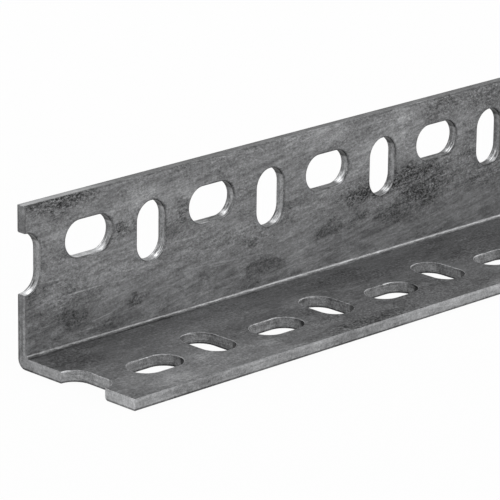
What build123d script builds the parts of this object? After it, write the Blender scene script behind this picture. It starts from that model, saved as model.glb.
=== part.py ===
from build123d import *
from math import ceil
import os

# Slotted steel angle
#
# One length of galvanised strip, punched with a row of slots in each half and folded along its
# middle to an equal L. The slots take turns: a long slot lies along the stock, and the next one
# stands across the leg. Both kinds share one line on the side of the leg's free edge.
#
# Millimetres, +Z up. The stock runs along X, centred on the origin. The base leg lies on the floor
# and the upright leg stands at the back, so the section is an L that opens towards -Y and +Z.

# Stock
length = 609.6  # 24 in, and 32 steps of the slot pattern
upright_height = 38.1
base_width = 38.1
thickness = 2.75  # 12 gauge galvanised sheet

# Fold and sheared edges
outer_bend_radius = 2.3
inner_bend_radius = 0.9
drawn_rim_radius = 0.8  # the upright's inner rim, which the slitter drew in
edge_break = 0.1

# Slots, for 5/16 in or 8 mm bolts
slot_width = 8.73  # 11/32 in
slot_length = 14.29  # 9/16 in
slot_step = 19.05  # from a long slot to the cross slot beside it
upright_slot_margin = 6.35  # from the upright's free edge to the slots' shared line
base_slot_margin = 9.525  # from the base's free edge to the slots' shared line

# The section's corners, in Y and Z
back = base_width / 2
front = -base_width / 2
heel = (back, 0)
upright_outer_rim = (back, upright_height)
upright_inner_rim = (back - thickness, upright_height)
inner_corner = (back - thickness, thickness)
base_top_rim = (front, thickness)
base_bottom_rim = (front, 0)

# How far each corner is rounded
rounded_corners = (
    (heel, outer_bend_radius),
    (inner_corner, inner_bend_radius),
    (upright_inner_rim, drawn_rim_radius),
    (upright_outer_rim, edge_break),
    (base_top_rim, edge_break),
    (base_bottom_rim, edge_break),
)

# Cross slots are centred on the stock's middle, so the pattern is the same from both ends. The rows
# run past the ends, where the stock is cut through whatever slot lies there.
like_slot_step = 2 * slot_step
cross_slots = 2 * ceil(length / 2 / like_slot_step) + 1
long_slots = cross_slots + 1


def slot_row(free_edge, inwards, margin):
    """Draw one leg's slots: free_edge is the edge's place and inwards the way to the fold."""
    long_line = free_edge + inwards * (margin + slot_width / 2)
    cross_line = free_edge + inwards * (margin + slot_length / 2)
    with Locations((0, long_line)):
        with GridLocations(like_slot_step, 0, long_slots, 1):
            SlotOverall(slot_length, slot_width)
    with Locations((0, cross_line)):
        with GridLocations(like_slot_step, 0, cross_slots, 1):
            SlotOverall(slot_length, slot_width, rotation=90)


with BuildPart() as slotted_angle:
    with BuildSketch(Plane.YZ.offset(-length / 2)) as section:
        with BuildLine():
            Polyline(
                base_bottom_rim,
                heel,
                upright_outer_rim,
                upright_inner_rim,
                inner_corner,
                base_top_rim,
                close=True,
            )
        make_face()
        for corner, radius in rounded_corners:
            fillet(section.vertices().sort_by_distance(corner)[0], radius)
    extrude(amount=length)

    # Slots of the upright leg, drawn on its outer back face
    with BuildSketch(Plane.XZ.offset(-back)):
        slot_row(upright_height, -1, upright_slot_margin)
    extrude(amount=2 * thickness, both=True, mode=Mode.SUBTRACT)

    # Slots of the base leg, drawn on its underside
    with BuildSketch(Plane.XY):
        slot_row(front, 1, base_slot_margin)
    extrude(amount=2 * thickness, both=True, mode=Mode.SUBTRACT)

slotted_angle.part.label = "slotted_angle"

os.makedirs("parts", exist_ok=True)
export_step(slotted_angle.part, "parts/slotted_angle.step")
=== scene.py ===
from math import pi, radians

import bmesh
import bpy
from mathutils import Matrix, Vector


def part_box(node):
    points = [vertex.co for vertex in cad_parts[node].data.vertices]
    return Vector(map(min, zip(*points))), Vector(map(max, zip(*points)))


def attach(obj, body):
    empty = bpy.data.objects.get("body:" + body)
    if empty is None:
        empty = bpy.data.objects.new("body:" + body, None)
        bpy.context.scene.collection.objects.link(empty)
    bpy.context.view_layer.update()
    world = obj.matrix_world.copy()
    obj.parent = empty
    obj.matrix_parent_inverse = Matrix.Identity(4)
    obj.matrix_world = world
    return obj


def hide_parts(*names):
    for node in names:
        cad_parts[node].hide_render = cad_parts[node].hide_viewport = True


# Slotted steel angle, galvanised, seen from above its open corner and along its length
#
# Everything is in metres. The stock runs along X, the base leg lies on the floor and the upright
# leg stands at the back. Sizes that the solid already has are read from its box, and the rest are
# named here.

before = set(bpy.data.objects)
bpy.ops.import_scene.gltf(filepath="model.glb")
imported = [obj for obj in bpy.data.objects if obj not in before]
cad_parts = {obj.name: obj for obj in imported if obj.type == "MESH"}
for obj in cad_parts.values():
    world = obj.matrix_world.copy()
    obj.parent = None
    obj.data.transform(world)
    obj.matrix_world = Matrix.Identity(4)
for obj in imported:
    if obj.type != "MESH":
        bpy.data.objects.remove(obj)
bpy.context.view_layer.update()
STOCK = "slotted_angle"
low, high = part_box(STOCK)

MM = 0.001

# Sizes shared with the solid
thickness = 2.75 * MM
slot_step = 19.05 * MM
slot_length = 14.29 * MM
base_slot_margin = 9.525 * MM
edge_break = 0.1 * MM
inner_bend_radius = 0.9 * MM
drawn_rim_radius = 0.8 * MM
near_end = low.x
far_end = high.x
front = low.y
back = high.y
top = high.z
upright_inner = back - thickness
base_top = thickness

# Rims: the punch drew the slots' inner rims in and broke out at the upright's outer ones, and the
# other rims are dulled. The near base notch's lower rim is worn round beside the end.
upright_rim_round = 0.5 * MM
base_rim_round = 0.2 * MM
slot_rim_steps = 4
break_out = 0.25 * MM
worn_round = 0.9 * MM
worn_reach = 3 * MM
notch_middle = front + base_slot_margin + slot_length / 2
rim_round = 0.08 * MM
rim_steps = 3

# How near is at a place, how close points are one, and the angles that count as flat and as sharp
near = 0.02 * MM
one_point = 0.001 * MM
flat_within = radians(0.5)
rim_from = radians(60)
shaded_sharp_from = radians(40)

# How a face's normal tells what it is: flat faces reach the first value in Y or Z, end faces reach the
# next in X, drawn-in rims reach the next in -Y, and faces that run along the stock stay under the last
# in X
flat_normal = 0.9999
end_normal = 0.2
drawn_in_normal = 0.6
lengthwise_normal = 0.001

# The photo's view: a long lens, turned a little about its own axis
camera_place = Vector((-0.830693, -0.583518, 0.284541))
camera_target = Vector((-0.235245, 0.0163, 0.013157))
camera_roll = radians(0.7407)
camera_lens = 273.65
camera_sensor = 36.0

# Light, as shares of the white that the surroundings show
ambient = 0.6
backdrop_share = 0.96
floor_paint = 0.8
floor_reach = 4.0
floor_gap = 0.05 * MM

# Soft lamps: name, way from the stock's middle, distance and side in metres, and how many times as
# bright as white
soft_lamps = (
    ("back_softbox", (-0.12, 0.66, 0.76), 1.2, 0.55, 5.0),
    ("front_softbox", (0.5, -0.75, 0.42), 1.3, 0.8, 2.0),
)

# Greys as they look, from black at 0 to white at 1
zinc_tone = 0.53
# Painted shade on the base's top, more towards its free edge
base_painted_shade = -0.045
base_front_painted_shade = -0.03
base_contrast = 0.6
# Painted shade on the upright's drawn-in rims, at the slots and at the top edge
drawn_rim_painted_shade = -0.05
top_rim_painted_shade = -0.08
# The fold's line, partly burnished and partly painted highlight, and the painted shade in the crease below
# it
fold_line_burnish_and_highlight_tone = 0.62
fold_crease_shade_tone = 0.43
upright_edge_tone = 0.42
base_edge_tone = 0.555
end_tone = 0.475
punched_tone = 0.53

# How strongly the sheared surfaces are mottled
upright_edge_mottling = 1.0
base_edge_mottling = 1.5
end_mottling = 1.4

# Zinc: its trace of blue, its share of metal, and its gloss at grazing angles
zinc_blue = 0.016
zinc_metallic = 0.55
zinc_grazing = 0.5


# Small helpers for materials

def new_material(name):
    """A material with an empty node tree and a surface shader."""
    material = bpy.data.materials.new(name)
    material.use_nodes = True
    tree = material.node_tree
    tree.nodes.clear()
    shader = add(tree, "BsdfPrincipled")
    output = add(tree, "OutputMaterial")
    tree.links.new(shader.outputs["BSDF"], output.inputs["Surface"])
    return material, tree, shader


def add(tree, kind, inputs=None, **settings):
    """Add a node: settings are its own choices, and inputs are values or other nodes' outputs."""
    made = tree.nodes.new("ShaderNode" + kind)
    for key, value in settings.items():
        setattr(made, key, value)
    for key, value in (inputs or {}).items():
        if isinstance(value, bpy.types.NodeSocket):
            tree.links.new(value, made.inputs[key])
        else:
            made.inputs[key].default_value = value
    return made


def maths(tree, operation, first, second=0.0, clamp=False):
    return add(tree, "Math", {0: first, 1: second}, operation=operation, use_clamp=clamp).outputs[0]


def spread(tree, value, low_in, high_in, low_out=0.0, high_out=1.0, smooth=True):
    """Turn a value's range into another range."""
    kind = "SMOOTHSTEP" if smooth else "LINEAR"
    inputs = {"Value": value, "From Min": low_in, "From Max": high_in, "To Min": low_out, "To Max": high_out}
    return add(tree, "MapRange", inputs, interpolation_type=kind).outputs["Result"]


def object_place(tree):
    return add(tree, "TexCoord").outputs["Object"]


def vector_maths(tree, operation, first, second=(0.0, 0.0, 0.0)):
    return add(tree, "VectorMath", {0: first, 1: second}, operation=operation).outputs[0]


def scaled(tree, value, factor, start):
    """value * factor + start"""
    return add(tree, "Math", {0: value, 1: factor, 2: start}, operation="MULTIPLY_ADD").outputs[0]


def noise(tree, place, size, seed, detail=2.0, roughness=0.5, distortion=0.0, turn=0.0):
    """Cloudy noise about 0.5, with blobs of the given size along X, Y and Z."""
    turned = add(tree, "Mapping", {"Vector": place, "Rotation": (0.0, turn, 0.0)}).outputs[0]
    stretched = vector_maths(tree, "DIVIDE", turned, size)
    moved = vector_maths(tree, "ADD", stretched, (seed * 7.3, seed * 3.1, seed * 5.7))
    inputs = {
        "Vector": moved,
        "Scale": 1.0,
        "Detail": detail,
        "Roughness": roughness,
        "Distortion": distortion,
    }
    return add(tree, "TexNoise", inputs).outputs["Fac"]


def layered(tree, start, layers):
    """Add to a tone each noise layer times its amount, so that 0.5 leaves the tone as it is."""
    total = start
    for layer, amount in layers:
        total = scaled(tree, maths(tree, "SUBTRACT", layer, 0.5), amount, total)
    return total


def grey(tree, tone, blue):
    """Colour of a tone as it looks, with a trace of blue as zinc has."""
    light = maths(tree, "POWER", maths(tree, "MAXIMUM", tone, 0.02), 2.2)
    return vector_maths(tree, "MULTIPLY", light, (1.0 - blue / 2, 1.0, 1.0 + blue))


def connect(tree, shader, tone, roughness, height, depth):
    """Wire a finish to its shader; depth is how deep the relief is from height 0 to 1."""
    tree.links.new(grey(tree, tone, zinc_blue), shader.inputs["Base Color"])
    tree.links.new(roughness, shader.inputs["Roughness"])
    shader.inputs["Metallic"].default_value = zinc_metallic
    shader.inputs["Specular Tint"].default_value = (*[zinc_grazing] * 3, 1.0)
    bump = add(tree, "Bump", {"Strength": 1.0, "Distance": depth, "Height": height})
    tree.links.new(bump.outputs["Normal"], shader.inputs["Normal"])


def mm(*sizes):
    return [size * MM for size in sizes]


# Finishes

# Stains on the inner faces as the photo shows them: distance from the near end, distance from the
# heel, length and width in millimetres, change of tone, and tilt in degrees
upright_stains = (
    (9, 37.5, 20, 5, -0.13, 0),
    (31, 27.5, 7, 4, -0.12, 0),
    (47.5, 27, 5, 6, -0.09, 0),
    (60, 33.5, 5, 2.5, -0.05, 0),
    (13, 9.5, 9, 5, -0.09, 0),
    (14, 15, 8, 4, -0.05, 0),
    (33, 9.5, 5, 3, -0.10, 0),
    (48, 9.2, 4, 2.5, -0.09, 0),
    (55, 9.5, 6, 2.5, -0.10, 0),
    (74, 8.5, 15, 4, -0.08, 0),
    (70, 5, 7, 3, -0.06, 0),
    (22, 4.5, 14, 3, -0.07, 0),
    (2, 13, 5, 16, -0.05, 0),
    (70, 15, 5, 3.5, -0.06, 0),
    (82, 19, 4, 4, -0.08, 0),
    (96, 12.5, 9, 5, -0.09, 0),
    (106, 18.5, 12, 4, -0.08, 0),
    (106, 13.5, 9, 4, -0.07, 0),
    (127, 18.5, 26, 11, -0.13, -6),
    (118, 12, 13, 6, -0.08, -8),
    (134, 22, 22, 4, -0.05, 0),
    (134, 35.5, 13, 6, -0.09, 0),
    (150, 19, 18, 14, -0.05, 0),
    (150, 36, 18, 7, -0.04, 0),
    (8, 31, 12, 5, 0.05, 0),
    (30, 19, 22, 14, 0.035, 0),
    (33, 33, 12, 6, 0.09, 0),
    (48, 31.5, 12, 6, 0.05, 0),
    (50, 6, 20, 8, 0.05, 0),
    (91, 7, 18, 9, 0.05, 0),
    (90, 37, 22, 4, 0.05, 0),
    (100.5, 35, 5, 8, 0.05, 0),
    (121, 33, 6, 9, 0.09, 0),
    (142, 29, 6, 6, 0.06, 0),
    (38, 7, 5, 9, 0.05, 0),
    (10, 9, 20, 11, -0.03, 0),
    (30, 12, 18, 5, 0.04, 0),
    (50, 11, 20, 11, 0.045, 0),
    (110, 20.5, 20, 6, -0.10, 0),
    (130, 13, 20, 9, -0.05, 0),
    (30, 29, 16, 5, 0.05, 0),
    (10, 32, 16, 5, -0.04, 0),
    (150, 28, 24, 22, -0.03, 0),
    (110, 32, 16, 4, 0.04, 0),
    (75, 16, 22, 6, -0.03, 0),
)
base_stains = (
    (5, 11, 18, 10, -0.06, 0),
    (18, 4.5, 32, 4, -0.04, 0),
    (97, 7.5, 13, 5, -0.07, 0),
    (86, 9.5, 9, 3.5, -0.05, 0),
    (125, 9.5, 8, 4, -0.05, 0),
    (131, 5, 11, 4, -0.05, 0),
    (140, 12, 50, 18, -0.03, 0),
    (69, 22, 5, 4, -0.07, 0),
    (95, 31, 74, 20, -0.05, 0),
    (74, 36, 26, 6, -0.05, 0),
    (25, 32, 50, 18, 0.06, 0),
    (17, 34, 13, 8, 0.07, 0),
    (30, 26, 14, 8, 0.05, 0),
    (46, 31, 9, 7, 0.05, 0),
    (56, 12, 48, 14, 0.04, 0),
    (26, 16, 15, 5, 0.03, 0),
    (88, 16, 8, 6, 0.03, 0),
    (95, 34, 5, 6, 0.03, 0),
    (10, 9, 22, 14, -0.03, 0),
    (52, 14, 26, 9, 0.04, 0),
    (72, 16, 14, 5, 0.03, 0),
    (75, 36, 44, 5, -0.05, 0),
    (130, 18, 20, 9, -0.05, 0),
    (70, 27, 14, 8, -0.03, 0),
    (10, 34, 18, 8, 0.02, 0),
)

# Blots on the outer faces, and on the inner ones past the photo's view: how far from the near end the
# inner faces' start and are full, and their change of tone
blots_from = 150 * MM
blots_full_from = 175 * MM
blot_change = -0.13

# Light scratches on the inner faces, from one place to another: distance from the near end and
# distance from the heel of both, in millimetres, and change of tone
upright_scratches = (
    (11.0, 14.9, 23.5, 15.1, 0.13),
    (18.7, 6.9, 26.3, 7.9, 0.13),
    (15.0, 5.4, 26.3, 5.7, 0.10),
    (7.8, 12.2, 12.0, 12.6, 0.10),
    (3.6, 9.1, 7.0, 9.0, 0.10),
)
base_scratches = (
    (36.1, 2.0, 36.3, 7.1, 0.09),
    (23.5, 20.1, 30.9, 21.1, 0.11),
)
scratch_width = 0.36 * MM

# Lighter and darker stretches of the base's sheared edge: distance from the near end and length in
# millimetres, and change of tone
front_stretches = (
    (4, 12, 0.03),
    (27, 14, -0.03),
    (48, 20, 0.035),
    (74, 22, -0.02),
    (102, 22, 0.01),
)


def stain(tree, ragged, centre, size, strength, tilt):
    """One even patch about a centre: its change of tone, fading to 0 at its rim."""
    away = vector_maths(tree, "SUBTRACT", ragged, centre)
    if tilt:
        turn = {"Vector": away, "Angle": radians(tilt)}
        away = add(tree, "VectorRotate", turn, rotation_type="Y_AXIS").outputs[0]
    share = vector_maths(tree, "DIVIDE", away, size)
    reach = add(tree, "VectorMath", {0: share}, operation="LENGTH").outputs["Value"]
    return spread(tree, reach, 0.45, 1.35, strength, 0.0)


def stain_field(tree, ragged):
    """Sum of both legs' stains."""
    total = 0.0
    for along, from_heel, length, width, strength, tilt in upright_stains:
        centre = (near_end + along * MM, upright_inner, from_heel * MM)
        size = mm(length / 2, 1.5, width / 2)
        total = maths(tree, "ADD", total, stain(tree, ragged, centre, size, strength, tilt))
    for along, from_heel, length, width, strength, tilt in base_stains:
        centre = (near_end + along * MM, back - from_heel * MM, base_top)
        size = mm(length / 2, width / 2, 1.5)
        total = maths(tree, "ADD", total, stain(tree, ragged, centre, size, strength, tilt))
    return total


def scratch(tree, place, start, end, change):
    """One thin straight line between two places: its change of tone, fading to 0 at its sides."""
    way = end - start
    away = vector_maths(tree, "SUBTRACT", place, (start + end) / 2)
    along = add(tree, "VectorMath", {0: away, 1: way.normalized()}, operation="DOT_PRODUCT")
    beside = vector_maths(tree, "CROSS_PRODUCT", away, way.normalized())
    off = add(tree, "VectorMath", {0: beside}, operation="LENGTH")
    share_along = maths(tree, "DIVIDE", along.outputs["Value"], way.length / 2)
    share_off = maths(tree, "DIVIDE", off.outputs["Value"], scratch_width / 2)
    reach = maths(tree, "MAXIMUM", maths(tree, "ABSOLUTE", share_along), share_off)
    return spread(tree, reach, 0.5, 1.2, change, 0.0)


def scratch_field(tree, place):
    """Sum of both legs' scratches."""
    total = 0.0
    for along, from_heel, to_along, to_from_heel, change in upright_scratches:
        start = Vector((near_end + along * MM, upright_inner, from_heel * MM))
        end = Vector((near_end + to_along * MM, upright_inner, to_from_heel * MM))
        total = maths(tree, "ADD", total, scratch(tree, place, start, end, change))
    for along, from_heel, to_along, to_from_heel, change in base_scratches:
        start = Vector((near_end + along * MM, back - from_heel * MM, base_top))
        end = Vector((near_end + to_along * MM, back - to_from_heel * MM, base_top))
        total = maths(tree, "ADD", total, scratch(tree, place, start, end, change))
    return total


def ragged_place(tree, place):
    """Places pushed about by a coarse and fine noise, so that stains get torn edges."""
    inputs = {"Vector": place, "Scale": 200.0, "Detail": 6.0, "Roughness": 0.85}
    shift = add(tree, "TexNoise", inputs).outputs["Color"]
    centred = vector_maths(tree, "SUBTRACT", shift, (0.5, 0.5, 0.5))
    pushed = vector_maths(tree, "MULTIPLY", centred, mm(26, 4, 12))
    return vector_maths(tree, "ADD", place, pushed)


def strip_place(tree, place):
    """Where a point lies in the strip: along it, across it, and how deep below its outer surface."""
    parts = add(tree, "SeparateXYZ", {0: place}).outputs
    behind = maths(tree, "SUBTRACT", back, parts["Y"])
    across = maths(tree, "ADD", behind, parts["Z"])
    depth = maths(tree, "MINIMUM", behind, parts["Z"])
    together = add(tree, "CombineXYZ", {"X": parts["X"], "Y": across, "Z": depth}).outputs[0]
    return together, depth


def band(tree, value, start, end, change):
    """A change that is full between two depths and fades out over a tenth of a millimetre."""
    fade = 0.1 * MM
    entering = spread(tree, value, start - fade, start + fade)
    leaving = spread(tree, value, end - fade, end + fade, change, 0.0)
    return maths(tree, "MULTIPLY", entering, leaving)


def unplaced_blots(tree, place, parts):
    """Dark blots where no stain is placed: beyond the photo's view and on the outer faces."""
    blots = noise(tree, place, mm(24, 10, 10), 10, 5.0, 0.75, 0.4)
    far = spread(tree, parts["X"], near_end + blots_from, near_end + blots_full_from)
    behind = spread(tree, parts["Y"], back - 1.0 * MM, back - 0.5 * MM)
    beneath = spread(tree, parts["Z"], 0.5 * MM, 1.0 * MM, 1.0, 0.0)
    unplaced = maths(tree, "MAXIMUM", far, maths(tree, "MAXIMUM", behind, beneath))
    return maths(tree, "MULTIPLY", unplaced, spread(tree, blots, 0.53, 0.66, 0.0, blot_change))


def weathering(tree, place, parts, on_base, grain, specks):
    """Clouds, stains and blots: the light ones even, and the dark ones speckled and gritty."""
    clouds = noise(tree, place, mm(38, 15, 15), 1, 2.0, 0.5, 0.4)
    patches = noise(tree, place, mm(18, 8, 8), 8, 2.0, 0.6)
    stains = stain_field(tree, ragged_place(tree, place))
    field = maths(tree, "ADD", stains, unplaced_blots(tree, place, parts))
    field = layered(tree, field, ((clouds, 0.14),))
    dark = maths(tree, "MAXIMUM", maths(tree, "MULTIPLY", field, -1.0), 0.0)
    light = maths(tree, "MAXIMUM", field, 0.0)

    # The upright's dark places are smoother towards the fold
    rough = spread(tree, parts["Z"], 9 * MM, 18 * MM, 0.35, 1.0)
    rough = maths(tree, "MAXIMUM", rough, on_base)
    speckled = scaled(tree, spread(tree, specks, 0.62, 0.36, -0.7, 0.8), rough, 1.2)
    gritty = scaled(tree, dark, 8.0, spread(tree, patches, 0.35, 0.65, 0.75, 1.15))
    gritty = maths(tree, "MULTIPLY", gritty, scaled(tree, rough, 0.6, 0.4))
    grit = maths(tree, "MULTIPLY", layered(tree, 0.0, ((grain, 0.38),)), gritty)
    change = maths(tree, "SUBTRACT", light, maths(tree, "MULTIPLY", dark, speckled))
    return maths(tree, "ADD", change, grit)


def painted_drawn_rim_shade(tree, parts, on_base):
    """Painted shade on the upright's drawn-in rims where they turn off its face, the slots' lower and far
    ones most.
    """
    facing = add(tree, "SeparateXYZ", {0: add(tree, "NewGeometry").outputs["Normal"]}).outputs
    # Painted shade where a rim turns off the face, more at the slots where it looks up or along the stock
    off_face = spread(tree, facing["Y"], -0.9995, -0.97)
    off_face = maths(tree, "MULTIPLY", off_face, spread(tree, facing["Y"], -0.3, 0.0, 1.0, 0.0))
    off_face = maths(tree, "MULTIPLY", off_face, maths(tree, "SUBTRACT", 1.0, on_base))
    at_slots = spread(tree, parts["Z"], top - 2.0 * MM, top - 1.0 * MM, 1.0, 0.0)
    at_edge = spread(tree, at_slots, 0.0, 1.0, top_rim_painted_shade, drawn_rim_painted_shade, smooth=False)
    up_facing_painted_shading = spread(tree, facing["Z"], 0.05, 0.4, 0.0, -0.07)
    looks_along = spread(tree, facing["X"], 0.05, 0.3, 0.0, -0.06)
    at_slot_side = maths(tree, "MULTIPLY", maths(tree, "ADD", up_facing_painted_shading, looks_along), at_slots)
    return maths(tree, "MULTIPLY", off_face, maths(tree, "ADD", at_edge, at_slot_side))


def painted_base_shade(tree, parts, on_base):
    """Painted shade: the base's top is darker than the upright, towards its free edge most."""
    at_edge = base_painted_shade + base_front_painted_shade
    change = spread(tree, parts["Y"], front, upright_inner, at_edge, base_painted_shade, smooth=False)
    return maths(tree, "MULTIPLY", change, on_base)


def make_zinc():
    """Rolled faces: dull, mottled, gritty where dark and streaked along the stock."""
    material, tree, shader = new_material("rolled_zinc")
    place = object_place(tree)
    parts = add(tree, "SeparateXYZ", {0: place}).outputs
    weather = noise(tree, place, mm(12, 5, 5), 2, 6.0, 0.98, 0.3)
    streaks = noise(tree, place, mm(18, 1.0, 1.0), 3, 3.0, 0.7, turn=radians(7))
    strokes = noise(tree, place, mm(6, 0.5, 0.5), 9, 2.0, 0.6, 0.3, turn=radians(13))
    grain = noise(tree, place, mm(0.62, 0.42, 0.42), 5, 1.0, 0.5, 0.8)
    hairlines = noise(tree, place, mm(34, 0.4, 0.4), 6, 1.0, 0.5, turn=radians(-3))
    specks = noise(tree, place, mm(1.0, 0.55, 0.55), 7, 2.0, 0.8, 0.6)

    # The base's top has less contrast, with small flecks
    on_base = spread(tree, parts["Z"], base_top + 0.1 * MM, base_top + 0.6 * MM, 1.0, 0.0)
    contrast = scaled(tree, on_base, base_contrast - 1.0, 1.0)
    fine = layered(tree, 0.0, ((weather, 0.68), (streaks, 0.24), (strokes, 0.18)))
    fine = maths(tree, "ADD", fine, spread(tree, hairlines, 0.66, 0.74, 0.0, 0.06))
    flecks = maths(tree, "MULTIPLY", layered(tree, 0.0, ((specks, 0.16),)), on_base)

    tone = scaled(tree, fine, contrast, zinc_tone)
    changes = (
        weathering(tree, place, parts, on_base, grain, specks),
        flecks,
        # painted shade on the drawn-in rims
        painted_drawn_rim_shade(tree, parts, on_base),
        scratch_field(tree, place),
        # painted shade on the base's top
        painted_base_shade(tree, parts, on_base),
    )
    for change in changes:
        tone = maths(tree, "ADD", tone, change)
    roughness = layered(tree, 0.5, ((weather, 0.8), (grain, 0.15)))
    relief = layered(tree, 0.5, ((weather, 1.0), (grain, 0.5), (streaks, 0.3)))
    connect(tree, shader, tone, roughness, relief, 0.03 * MM)
    return material


def make_fold():
    """Inside of the fold: a thin uneven line, partly rubbed bright by the bending tool and partly painted
    highlight, and painted shade in the crease below it.
    """
    material, tree, shader = new_material("burnished_fold_and_painted_highlight")
    place = object_place(tree)
    rubs = noise(tree, place, mm(4, 0.6, 0.6), 11, 5.0, 0.9)
    grain = noise(tree, place, mm(0.7, 0.4, 0.4), 12, 2.0, 0.6)
    place_parts = add(tree, "SeparateXYZ", {0: place}).outputs
    height = scaled(tree, maths(tree, "SUBTRACT", rubs, 0.5), 0.5 * MM, place_parts["Z"])
    # Painted shade in the crease below the bright line
    below = spread(tree, height, base_top + 0.27 * MM, base_top + 0.55 * MM, fold_crease_shade_tone - fold_line_burnish_and_highlight_tone, 0.0)
    above = spread(tree, height, base_top + 0.6 * MM, base_top + 0.85 * MM, 0.0, zinc_tone - fold_line_burnish_and_highlight_tone)
    along = spread(tree, place_parts["X"], near_end + 35 * MM, near_end + 75 * MM, -0.07, 0.03)
    tone = layered(tree, fold_line_burnish_and_highlight_tone, ((rubs, 1.0), (grain, 0.3)))
    for change in (below, above, along):
        tone = maths(tree, "ADD", tone, change)
    roughness = layered(tree, 0.42, ((rubs, 0.3), (grain, 0.2)))
    relief = layered(tree, 0.5, ((rubs, 0.6), (grain, 0.5)))
    connect(tree, shader, tone, roughness, relief, 0.02 * MM)
    return material


def make_sheared(name, tone_start, mottling, seed, changes):
    """A sheared surface: light and mottled, with faint marks along the strip's layers."""
    material, tree, shader = new_material(name)
    place = object_place(tree)
    parts = add(tree, "SeparateXYZ", {0: place}).outputs
    strip, depth = strip_place(tree, place)
    marks = noise(tree, strip, mm(6, 6, 0.45), seed, 3.0, 0.7, 0.4)
    clouds = noise(tree, place, mm(7, 4, 4), seed + 1, 5.0, 0.9)
    grain = noise(tree, place, mm(0.5, 0.45, 0.45), seed + 2, 1.0, 0.6, 0.8)
    wobble = scaled(tree, maths(tree, "SUBTRACT", clouds, 0.5), 0.6 * MM, depth)
    mottled = layered(tree, 0.0, ((marks, 0.16), (clouds, 0.45), (grain, 0.22)))
    tone = scaled(tree, mottled, mottling, tone_start)
    for change in changes(tree, parts, depth, wobble):
        tone = maths(tree, "ADD", tone, change)
    roughness = layered(tree, 0.45, ((grain, 0.2), (marks, 0.2)))
    relief = layered(tree, 0.5, ((marks, 0.5), (clouds, 0.6), (grain, 0.5)))
    connect(tree, shader, tone, roughness, relief, 0.02 * MM)
    return material


def upright_edge_changes(tree, parts, depth, wobble):
    """A painted highlight near the end, painted shade along the outer rim, and a faintly duller band."""
    # Painted highlight on the edge near the end
    painted_highlight_near_end = spread(tree, parts["X"], near_end + 17 * MM, near_end + 27 * MM, 0.20, 0.0)
    # Painted shade along the outer rim
    outer_rim = spread(tree, depth, 0.25 * MM, 0.5 * MM, -0.12, 0.0)
    return painted_highlight_near_end, outer_rim, band(tree, wobble, 0.3 * MM, 0.9 * MM, -0.02)


def base_edge_changes(tree, parts, depth, wobble):
    """Painted shade along the lower rim, and a painted highlight under the upper rim."""
    lighter = spread(tree, parts["X"], near_end + 60 * MM, near_end + 90 * MM, 0.0, 0.05)
    # Painted shade along the lower rim
    lower_rim_painted_shade = spread(tree, depth, 0.32 * MM, 0.55 * MM, -0.22, 0.0)
    # Painted highlight under the upper rim
    upper_rim_painted_highlight = band(tree, wobble, 2.2 * MM, 2.6 * MM, 0.045)
    stretches = []
    for along, length, change in front_stretches:
        away = maths(tree, "ABSOLUTE", maths(tree, "SUBTRACT", parts["X"], near_end + along * MM))
        stretches.append(spread(tree, away, 0.3 * length * MM, 0.7 * length * MM, change, 0.0))
    return lighter, lower_rim_painted_shade, upper_rim_painted_highlight, *stretches


def end_changes(tree, parts, depth, wobble):
    """Lighter on the base, with two scored lines along the upright below its notch, and painted shade along
    the base's lower rim and the upright's outer rim.
    """
    on_base = spread(tree, parts["Z"], base_top, base_top + 1.0 * MM, 1.0, 0.0)
    on_upright = maths(tree, "SUBTRACT", 1.0, on_base)
    lighter = spread(tree, parts["Y"], front + 6 * MM, back - 8 * MM, 0.22, 0.15)
    heel = spread(tree, parts["Y"], back - 6 * MM, back - 2 * MM, 0.0, -0.08)
    # Painted shade along the base's lower rim
    base_rim = band(tree, depth, 0.0, 0.45 * MM, -0.22)
    below_notch = spread(tree, parts["Z"], top - 16 * MM, top - 12 * MM, 1.0, 0.0)
    inner_line = maths(tree, "MULTIPLY", band(tree, wobble, 1.75 * MM, 2.4 * MM, 0.09), below_notch)
    outer_line = maths(tree, "MULTIPLY", band(tree, depth, 0.7 * MM, 1.0 * MM, 0.06), below_notch)
    drawn_in = band(tree, depth, 2.4 * MM, thickness + 1.0 * MM, -0.04)
    # Painted shade along the upright's outer rim
    upright_rim = band(tree, depth, 0.0, 0.45 * MM, -0.08)
    changes = [maths(tree, "MULTIPLY", on_base, change) for change in (lighter, heel, base_rim)]
    for change in (inner_line, outer_line, drawn_in, upright_rim):
        changes.append(maths(tree, "MULTIPLY", on_upright, change))
    return changes


def make_punched(name, seed, changes):
    """Slot wall: ringed and burnished by the punch, and torn and dark at its outer rim."""
    material, tree, shader = new_material(name)
    place = object_place(tree)
    parts = add(tree, "SeparateXYZ", {0: place}).outputs
    facing = add(tree, "SeparateXYZ", {0: add(tree, "NewGeometry").outputs["Normal"]}).outputs
    strip, depth = strip_place(tree, place)
    rings = noise(tree, strip, mm(5, 5, 0.3), seed, 3.0, 0.7, 0.5)
    clouds = noise(tree, place, mm(4, 4, 4), seed + 1, 5.0, 0.9)
    grain = noise(tree, place, mm(0.45, 0.45, 0.45), seed + 2, 1.0, 0.6, 0.8)
    wobble = scaled(tree, maths(tree, "SUBTRACT", clouds, 0.5), 0.9 * MM, depth)
    tone = layered(tree, punched_tone, ((rings, 0.42), (clouds, 0.6), (grain, 0.4)))
    # The changes hold painted highlights and painted shade that follow which way the wall faces
    for change in changes(tree, parts, facing, depth, wobble, rings):
        tone = maths(tree, "ADD", tone, change)
    torn = spread(tree, wobble, 1.2 * MM, 0.8 * MM)
    roughness = scaled(tree, torn, 0.12, layered(tree, 0.38, ((rings, 0.3), (grain, 0.2))))
    relief = layered(tree, 0.5, ((rings, 0.8), (clouds, 0.5), (grain, 0.4)))
    connect(tree, shader, tone, roughness, relief, 0.03 * MM)
    return material


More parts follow.
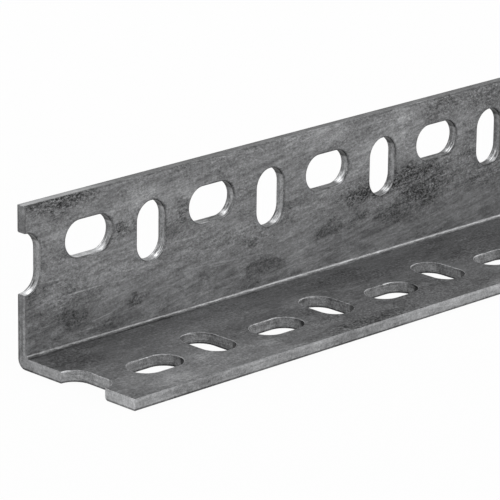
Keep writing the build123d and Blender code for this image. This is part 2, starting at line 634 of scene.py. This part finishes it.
def upright_slot_changes(tree, parts, facing, depth, wobble, rings):
    """Painted shade where the wall looks down, painted highlight on the lower walls that look up near the
    end and painted shade further on, and streaky painted glints where the wall looks up and outwards.
    """
    level = facing["Z"]
    # Painted shade where the wall looks down
    down_facing_painted_shade = spread(tree, level, -0.42, -0.52, 0.0, -0.24)
    # Painted highlight on the lower walls that look up near the end, and painted shade further on
    lower_wall_painted_light = spread(tree, parts["X"], near_end + 28 * MM, near_end + 45 * MM, 0.16, -0.10)
    up_facing_painted_shading = maths(tree, "MULTIPLY", spread(tree, level, 0.88, 0.97), lower_wall_painted_light)
    # Streaky painted glints where the wall looks up and outwards
    turned = maths(tree, "MULTIPLY", spread(tree, level, 0.35, 0.5), spread(tree, level, 0.95, 0.85))
    painted_glint_streaks = maths(tree, "MULTIPLY", turned, spread(tree, rings, 0.42, 0.6, -0.14, 0.22))
    along = spread(tree, parts["X"], near_end, near_end + 140 * MM, 0.03, -0.03)
    burnished = band(tree, wobble, 1.4 * MM, 2.2 * MM, 0.05)
    torn = spread(tree, wobble, 1.2 * MM, 0.8 * MM, 0.0, -0.02)
    burr = spread(tree, depth, 0.5 * MM, 0.25 * MM, 0.0, -0.14)
    drawn = spread(tree, depth, thickness - 0.5 * MM, thickness - 0.3 * MM, 0.0, -0.05)
    return down_facing_painted_shade, up_facing_painted_shading, painted_glint_streaks, along, burnished, torn, burr, drawn


def base_slot_changes(tree, parts, facing, depth, wobble, rings):
    """A painted highlight along the inner rim, a dark outer rim, and painted shade where the wall looks to
    the near end or to the back.
    """
    past_notch = spread(tree, parts["X"], near_end + 5 * MM, near_end + 10 * MM)
    lighter = spread(tree, past_notch, 0.0, 1.0, 0.06, -0.01)
    # Painted shade where the wall looks to the near end
    near_end_facing_shade = spread(tree, facing["X"], -0.93, -0.96, 0.0, -0.055)
    shade_past_notch = maths(tree, "MULTIPLY", near_end_facing_shade, past_notch)
    # Painted highlight along the inner rim, made uneven
    inner_rim = spread(tree, wobble, thickness - 0.4 * MM, thickness - 0.2 * MM)
    broken = spread(tree, rings, 0.38, 0.55, 0.04, 0.24)
    painted_rim_highlight = maths(tree, "MULTIPLY", inner_rim, spread(tree, facing["X"], -0.95, -0.2))
    painted_rim_highlight = maths(tree, "MULTIPLY", painted_rim_highlight, broken)
    # Painted shade where the wall looks to the back
    back_facing_painted_shade = maths(tree, "MULTIPLY", spread(tree, facing["Y"], 0.1, 0.3, 0.0, -0.22), past_notch)
    outer_rim = spread(tree, depth, 0.5 * MM, 0.3 * MM, 0.0, -0.2)
    return lighter, shade_past_notch, painted_rim_highlight, back_facing_painted_shade, outer_rim


def make_finishes():
    """One material for each way that the strip was worked, in the order of the piece's slots."""
    return {
        "rolled": make_zinc(),
        "fold": make_fold(),
        "upright_edge": make_sheared(
            "sheared_upright_edge", upright_edge_tone, upright_edge_mottling, 21, upright_edge_changes
        ),
        "base_edge": make_sheared(
            "sheared_base_edge", base_edge_tone, base_edge_mottling, 31, base_edge_changes
        ),
        "end": make_sheared("sheared_end", end_tone, end_mottling, 41, end_changes),
        "upright_slot": make_punched("punched_upright", 51, upright_slot_changes),
        "base_slot": make_punched("punched_base", 61, base_slot_changes),
    }


# The piece

def merged_stock(node):
    """The solid's mesh as one closed skin with flat faces whole, cut only through the slots' middles."""
    mesh = bmesh.new()
    mesh.from_mesh(node.data)
    bmesh.ops.remove_doubles(mesh, verts=mesh.verts, dist=one_point)
    slots_each_way = round(far_end / slot_step) - 1
    for count in range(-slots_each_way, slots_each_way + 1):
        cut = bmesh.ops.bisect_plane(
            mesh,
            geom=mesh.verts[:] + mesh.edges[:] + mesh.faces[:],
            dist=one_point,
            plane_co=(count * slot_step, 0.0, 0.0),
            plane_no=(1.0, 0.0, 0.0),
        )
        for item in cut["geom_cut"]:
            if isinstance(item, bmesh.types.BMEdge):
                item.seam = True
    bmesh.ops.dissolve_limit(
        mesh,
        angle_limit=flat_within,
        verts=mesh.verts,
        edges=mesh.edges,
        delimit={"SEAM"},
    )
    for edge in mesh.edges:
        edge.seam = False
    return mesh


def sharp_edges(mesh):
    return [edge for edge in mesh.edges if edge.calc_face_angle(0.0) > rim_from]


def on_upright_face(place):
    return abs(place.y - upright_inner) < near and place.z > base_top + near


def on_base_face(place):
    return abs(place.z - base_top) < near and place.y < upright_inner - near


def on_back(place):
    return abs(place.y - back) < near


def on_underside(place):
    return abs(place.z) < near


def slot_rims(mesh, on_face):
    """The sharp edges of the slots and notches on the faces that on_face picks."""
    rims = []
    for edge in sharp_edges(mesh):
        ends = [vertex.co for vertex in edge.verts]
        on_cut_end = all(abs(abs(place.x) - far_end) < near for place in ends)
        if all(on_face(place) for place in ends) and not on_cut_end:
            rims.append(edge)
    return rims


def worn_rim(mesh):
    """The near base notch's lower rim on the side of the free edge, for a short way from the end."""
    worn = []
    for edge in slot_rims(mesh, on_underside):
        ends = [vertex.co for vertex in edge.verts]
        beside_end = all(place.x < near_end + worn_reach for place in ends)
        if beside_end and all(front + near < place.y < notch_middle for place in ends):
            worn.append(edge)
    return worn


def round_edges(mesh, edges, size, steps):
    bmesh.ops.bevel(
        mesh,
        geom=edges,
        offset=size,
        offset_type="OFFSET",
        segments=steps,
        profile=0.5,
        affect="EDGES",
        clamp_overlap=False,
        material=-1,
        loop_slide=True,
    )


def work_rims(mesh):
    """Draw the slots' inner rims in, break the upright's outer ones out and dull all the rest."""
    round_edges(mesh, slot_rims(mesh, on_upright_face), upright_rim_round, slot_rim_steps)
    round_edges(mesh, slot_rims(mesh, on_base_face), base_rim_round, slot_rim_steps)
    round_edges(mesh, slot_rims(mesh, on_back), break_out, 1)
    round_edges(mesh, worn_rim(mesh), worn_round, slot_rim_steps)
    round_edges(mesh, sharp_edges(mesh), rim_round, rim_steps)


def is_on_skin(place):
    """Whether a point lies on one of the four flat faces of the rolled strip."""
    gaps = (place.y - back, place.y - upright_inner, place.z, place.z - base_top)
    return min(abs(gap) for gap in gaps) < near


def finish_of(face):
    """Which finish a face has, from where it lies and which way it looks."""
    middle = face.calc_center_median()
    normal = face.normal
    on_upright = middle.z > base_top + near
    if abs(middle.x) > far_end - rim_round - near and abs(normal.x) > end_normal:
        return "end"
    if middle.z > top - edge_break - near and middle.y > upright_inner + drawn_rim_radius - near:
        return "upright_edge"
    if middle.y < front + edge_break + near:
        return "base_edge"
    outside = middle.y > upright_inner and middle.z < base_top
    in_fold = middle.y > upright_inner - inner_bend_radius and middle.z < base_top + inner_bend_radius
    runs_along = abs(normal.x) < lengthwise_normal
    flat = max(abs(normal.y), abs(normal.z)) > flat_normal
    if runs_along and in_fold and not outside and not flat:
        return "fold"
    flat_skin = flat and is_on_skin(middle)
    drawn_in = on_upright and normal.y < -drawn_in_normal
    bent_or_drawn_skin = runs_along and (outside or middle.z > top - drawn_rim_radius - near)
    if flat_skin or drawn_in or bent_or_drawn_skin:
        return "rolled"
    return "upright_slot" if on_upright else "base_slot"


def make_stock(node, finishes):
    mesh = merged_stock(node)
    work_rims(mesh)
    order = list(finishes)
    for face in mesh.faces:
        face.smooth = True
        face.material_index = order.index(finish_of(face))
    for edge in mesh.edges:
        edge.smooth = edge.calc_face_angle(0.0) < shaded_sharp_from
    data = bpy.data.meshes.new("galvanised_angle")
    mesh.to_mesh(data)
    mesh.free()
    for name in order:
        data.materials.append(finishes[name])
    piece = bpy.data.objects.new("galvanised_angle", data)
    bpy.context.scene.collection.objects.link(piece)
    shading = piece.modifiers.new("flat_faces", "WEIGHTED_NORMAL")
    shading.mode = "FACE_AREA"
    shading.weight = 50
    shading.keep_sharp = True
    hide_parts(STOCK)
    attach(piece, "root")
    return piece


# The studio

def make_camera():
    data = bpy.data.cameras.new("photo_view")
    data.lens = camera_lens
    data.sensor_width = camera_sensor
    data.clip_start = 0.01
    data.clip_end = 100.0
    camera = bpy.data.objects.new("photo_view", data)
    bpy.context.scene.collection.objects.link(camera)
    look = (camera_target - camera_place).to_track_quat("-Z", "Y").to_matrix()
    turned = look @ Matrix.Rotation(camera_roll, 3, "Z")
    camera.matrix_world = Matrix.Translation(camera_place) @ turned.to_4x4()
    bpy.context.scene.camera = camera


def seen_directly(tree):
    """1 for rays from the camera, from a gloss or through glass, and 0 for the light that falls."""
    rays = add(tree, "LightPath").outputs
    seen = maths(tree, "MAXIMUM", rays["Is Camera Ray"], rays["Is Glossy Ray"])
    return maths(tree, "MAXIMUM", seen, rays["Is Transmission Ray"])


def make_surroundings():
    world = bpy.data.worlds.new("white_studio")
    world.use_nodes = True
    tree = world.node_tree
    tree.nodes.clear()
    strength = spread(tree, seen_directly(tree), 0.0, 1.0, ambient, 1.0, smooth=False)
    background = add(tree, "Background", {"Color": (1.0, 1.0, 1.0, 1.0), "Strength": strength})
    output = add(tree, "OutputWorld")
    tree.links.new(background.outputs[0], output.inputs["Surface"])
    bpy.context.scene.world = world


def make_floor():
    """A white floor that keeps a faint shadow and is clear from below."""
    mesh = bmesh.new()
    bmesh.ops.create_grid(mesh, x_segments=1, y_segments=1, size=floor_reach)
    bmesh.ops.translate(mesh, verts=mesh.verts, vec=(0.0, 0.0, -floor_gap))
    data = bpy.data.meshes.new("studio_floor")
    mesh.to_mesh(data)
    mesh.free()
    material = bpy.data.materials.new("white_floor")
    material.use_nodes = True
    tree = material.node_tree
    tree.nodes.clear()
    paint = add(tree, "BsdfDiffuse", {"Color": (*[floor_paint] * 3, 1.0)})
    backdrop = add(tree, "Emission", {"Strength": 1.0})
    share = maths(tree, "MULTIPLY", seen_directly(tree), backdrop_share)
    lit = add(tree, "MixShader", {0: share, 1: paint.outputs[0], 2: backdrop.outputs[0]})
    clear = add(tree, "BsdfTransparent")
    from_below = add(tree, "NewGeometry").outputs["Backfacing"]
    surface = add(tree, "MixShader", {0: from_below, 1: lit.outputs[0], 2: clear.outputs[0]})
    output = add(tree, "OutputMaterial")
    tree.links.new(surface.outputs[0], output.inputs["Surface"])
    data.materials.append(material)
    floor = bpy.data.objects.new("studio_floor", data)
    bpy.context.scene.collection.objects.link(floor)


def softbox(name, towards, distance, side, brightness):
    """A square soft lamp that looks at the stock's middle; its power makes its face that bright."""
    data = bpy.data.lights.new(name, "AREA")
    data.shape = "SQUARE"
    data.size = side
    data.energy = brightness * pi * side ** 2
    lamp = bpy.data.objects.new(name, data)
    bpy.context.scene.collection.objects.link(lamp)
    way = Vector(towards).normalized()
    turned = way.to_track_quat("Z", "Y").to_matrix().to_4x4()
    lamp.matrix_world = Matrix.Translation(way * distance) @ turned


make_camera()
make_surroundings()
make_floor()
for lamp_values in soft_lamps:
    softbox(*lamp_values)
make_stock(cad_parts[STOCK], make_finishes())

bpy.context.scene.view_settings.view_transform = "Standard"
